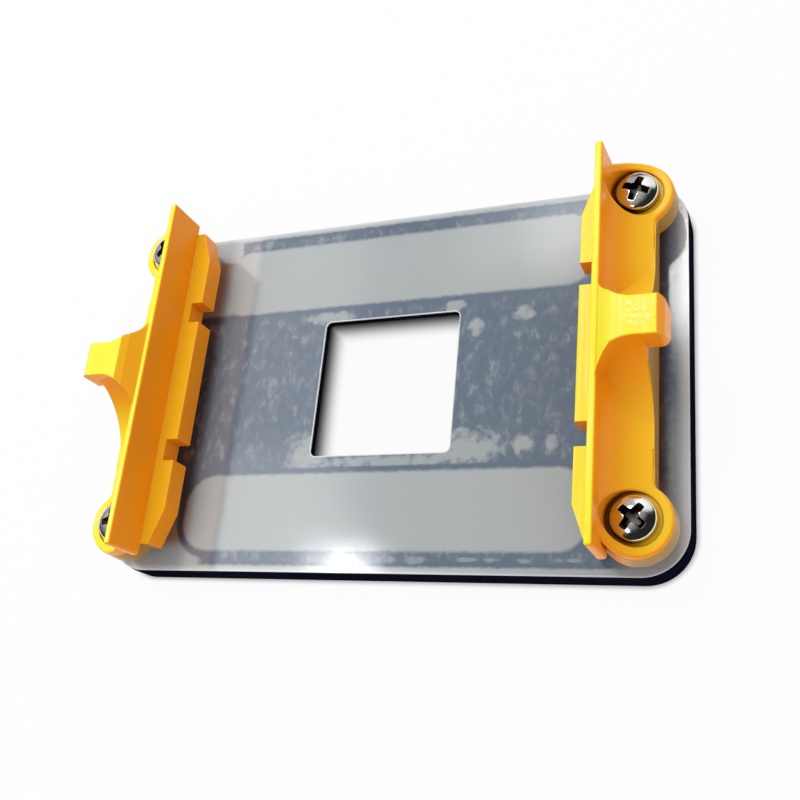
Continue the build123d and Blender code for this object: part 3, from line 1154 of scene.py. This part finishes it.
@dataclass(frozen=True)
class Softbox:
    """One softbox over the plate, sizes and place in metres."""

    name: str
    place: tuple[float, float, float]
    size: Pair
    glow: float
    in_shine_only: bool = False

    def hang(self) -> None:
        """Hang the softbox level, facing straight down."""
        lamp = bpy.data.lights.new(self.name, "AREA")
        lamp.shape = "RECTANGLE"
        lamp.size, lamp.size_y = self.size
        lamp.energy = self.glow * math.pi * self.size[0] * self.size[1]
        holder = bpy.data.objects.new(self.name, lamp)
        holder.location = self.place
        holder.visible_diffuse = not self.in_shine_only
        bpy.context.scene.collection.objects.link(holder)


@dataclass(frozen=True)
class RoomGlow:
    """Bright part of the room, by the direction it is seen in."""

    way: Way
    starts: float
    full: float
    dark: float
    bright: float

    def strength(self, graph: Graph, direction: Socket) -> Socket:
        """Work out the glow of the room in one direction.

        Args:
            graph: World that the glow's nodes go into.
            direction: The direction's socket.

        Returns:
            The strength's socket.
        """
        node = graph.add("MapRange", {"interpolation_type": "SMOOTHSTEP"},
                         Value=graph.along(direction, self.way), From_Min=self.starts,
                         From_Max=self.full, To_Min=self.dark, To_Max=self.bright)
        return node.outputs["Result"]


@dataclass
class Studio:
    """Floor, light and camera round the plate, lengths in metres or as said."""

    floor_half: float = 3.0
    floor_level: float = -0.02 * MM
    paper_colour: Colour = (0.86, 0.86, 0.86)
    # Painted shade: grey floor under the plate, dark floor at the opening's shaded edges.
    under_plate_shade_colour: Colour = (0.6, 0.6, 0.62)
    floor_shade_colour: Colour = (0.03, 0.03, 0.045)
    plate_half: Pair = (52.1, 33.8)
    plate_corner: float = 7.6
    outside_plate: Ramp = Ramp(-0.3, 1.0)
    under_plate: Ramp = Ramp(0.0, -1.0)
    # The white in the opening fades into painted shade on its left and far sides.
    opening_shaded: Ramp = Ramp(15.5, 10.7)
    opening_lit: Ramp = Ramp(13.9, 12.9)
    opening_shade_fade: Ramp = Ramp(11.0, 15.0)
    whiteness: float = 0.94
    camera_place: tuple[float, float, float] = (0.06985, -0.06494, 0.15467)
    camera_turn: tuple[float, float, float] = (22.949, 21.904, 5.821)
    lens: float = 45.305
    room_light: float = 1.0
    room_glows: tuple[RoomGlow, RoomGlow] = (
        RoomGlow((-0.45, 0.45, 0.77), 0.45, 0.85, 0.02, 0.6),
        RoomGlow((0.36, 0.80, 0.48), 0.86, 0.97, 0.0, 1.2))
    softboxes: tuple[Softbox, ...] = (
        Softbox("overhead_softbox", (-0.185, 0.17, 0.4), (0.33, 0.26), 2.9),
        Softbox("window_strip", (0.004, 0.225, 0.39), (0.02, 0.075), 44.0, True),
        Softbox("near_tube", (-0.191, 0.049, 0.385), (0.026, 0.006), 330.0, True),
        Softbox("near_left_glow", (-0.265, 0.075, 0.38), (0.15, 0.09), 4.0, True),
        Softbox("left_glow", (-0.275, 0.15, 0.375), (0.15, 0.26), 2.6, True),
        Softbox("far_right_glow", (-0.045, 0.265, 0.38), (0.085, 0.06), 8.0, True),
        Softbox("far_glow", (-0.085, 0.262, 0.375), (0.09, 0.07), 3.0, True),
        Softbox("side_lamp", (-0.113, -0.21, 0.4), (0.06, 0.06), 10.0, True))

    def build(self) -> None:
        """Set the floor, the lights and the camera."""
        self._floor()
        self._world()
        for softbox in self.softboxes:
            softbox.hang()
        self._camera()
        bpy.context.scene.view_settings.view_transform = "Standard"

    def _floor(self) -> None:
        """Lay the white floor that the plate stands on, not seen from below."""
        corners = [(x * self.floor_half, y * self.floor_half, self.floor_level)
                   for x, y in ((-1, -1), (1, -1), (1, 1), (-1, 1))]
        mesh = bpy.data.meshes.new("floor")
        mesh.from_pydata(corners, [], [(0, 1, 2, 3)])
        floor = bpy.data.objects.new("floor", mesh)
        bpy.context.scene.collection.objects.link(floor)
        graph = new_graph("floor")
        path = graph.add("LightPath").outputs
        seen = graph.math("MAXIMUM", path["Is Camera Ray"], path["Is Glossy Ray"])
        # The white share and the colour under it carry the floor's painted shade.
        whiten, colour = self._paper(graph)
        top = graph.mixed(graph.product(seen, whiten), graph.add("BsdfDiffuse", Color=colour),
                          graph.add("Emission", Color=WHITE, Strength=1.0))
        below = graph.add("NewGeometry").outputs["Backfacing"]
        shader = graph.mixed(below, top, graph.add("BsdfTransparent"))
        mesh.materials.append(graph.finish(shader))

    def _paper(self, graph: Graph) -> tuple[Socket, Socket]:
        """Work out where the floor is plain white, and the painted shade on it in the opening and
        under the plate.

        Args:
            graph: Nodes of the finish.

        Returns:
            Sockets of the white share and of the colour under it.
        """
        x, y = graph.axes["X"], graph.axes["Y"]
        from_plate = graph.rounded(self.plate_half, self.plate_corner)
        shaded_side = graph.math("MAXIMUM", graph.product(x, -1.0), y)
        lit_side = graph.math("MAXIMUM", x, graph.product(y, -1.0))
        # Painted shade: the white fades out towards the opening's left and far edges.
        in_opening = graph.product(graph.ramp(shaded_side, self.opening_shaded),
                                   graph.ramp(lit_side, self.opening_lit))
        white = graph.math("MAXIMUM", graph.ramp(from_plate, self.outside_plate), in_opening)
        # Painted shade: grey under the plate, dark near the opening's shaded edges.
        floor_shade = graph.blend(graph.ramp(shaded_side, self.opening_shade_fade), self.under_plate_shade_colour,
                           self.floor_shade_colour)
        covered = graph.ramp(from_plate, self.under_plate)
        return graph.product(white, self.whiteness), graph.blend(covered, self.paper_colour, floor_shade)

    def _world(self) -> None:
        """Fill the room with soft light, its near right side dark in reflections."""
        world = bpy.data.worlds.new("studio")
        bpy.context.scene.world = world
        graph = Graph(world)
        direction = graph.add("TexCoord").outputs["Generated"]
        walls, window = (glow.strength(graph, direction) for glow in self.room_glows)
        mirrored = graph.add("Background", Strength=graph.math("ADD", walls, window))
        ceiling = graph.add("Background", Strength=self.room_light)
        path = graph.add("LightPath").outputs
        lit = graph.mixed(path["Is Glossy Ray"], ceiling, mirrored)
        backdrop = graph.add("Background", Color=WHITE)
        graph.finish(graph.mixed(path["Is Camera Ray"], lit, backdrop), "OutputWorld")

    def _camera(self) -> None:
        """Set the camera where the photograph was taken from."""
        camera = bpy.data.cameras.new("camera")
        camera.lens = self.lens
        camera.sensor_width = 36.0
        camera.clip_start = 0.01
        holder = bpy.data.objects.new("camera", camera)
        holder.location = self.camera_place
        holder.rotation_euler = Euler([math.radians(turn) for turn in self.camera_turn])
        bpy.context.scene.collection.objects.link(holder)
        bpy.context.scene.camera = holder


def main() -> None:
    """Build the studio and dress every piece."""
    logging.basicConfig(level=logging.INFO, format="%(message)s")
    Studio().build()
    Plate().dress()
    steel = SteelFinishes(
        post=PlatedSteel("post_steel", (0.72, 0.71, 0.68), roughness=(0.17, 0.14)).material(),
        screw=PlatedSteel("screw_steel").material(),
        # Painted shade: the recess is coloured dark for the shade inside it.
        recess=PlatedSteel("screw_recess_shade", (0.06, 0.057, 0.052),
                           roughness=(0.25, 0.14)).material())
    turns = {Side.LEFT: {End.NEAR: 12.0, End.FAR: 35.0},
             Side.RIGHT: {End.NEAR: 50.0, End.FAR: 68.0}}
    for side in Side:
        ClipBracket(side, turns=turns[side]).build(steel)


if __name__ == "__main__":
    main()
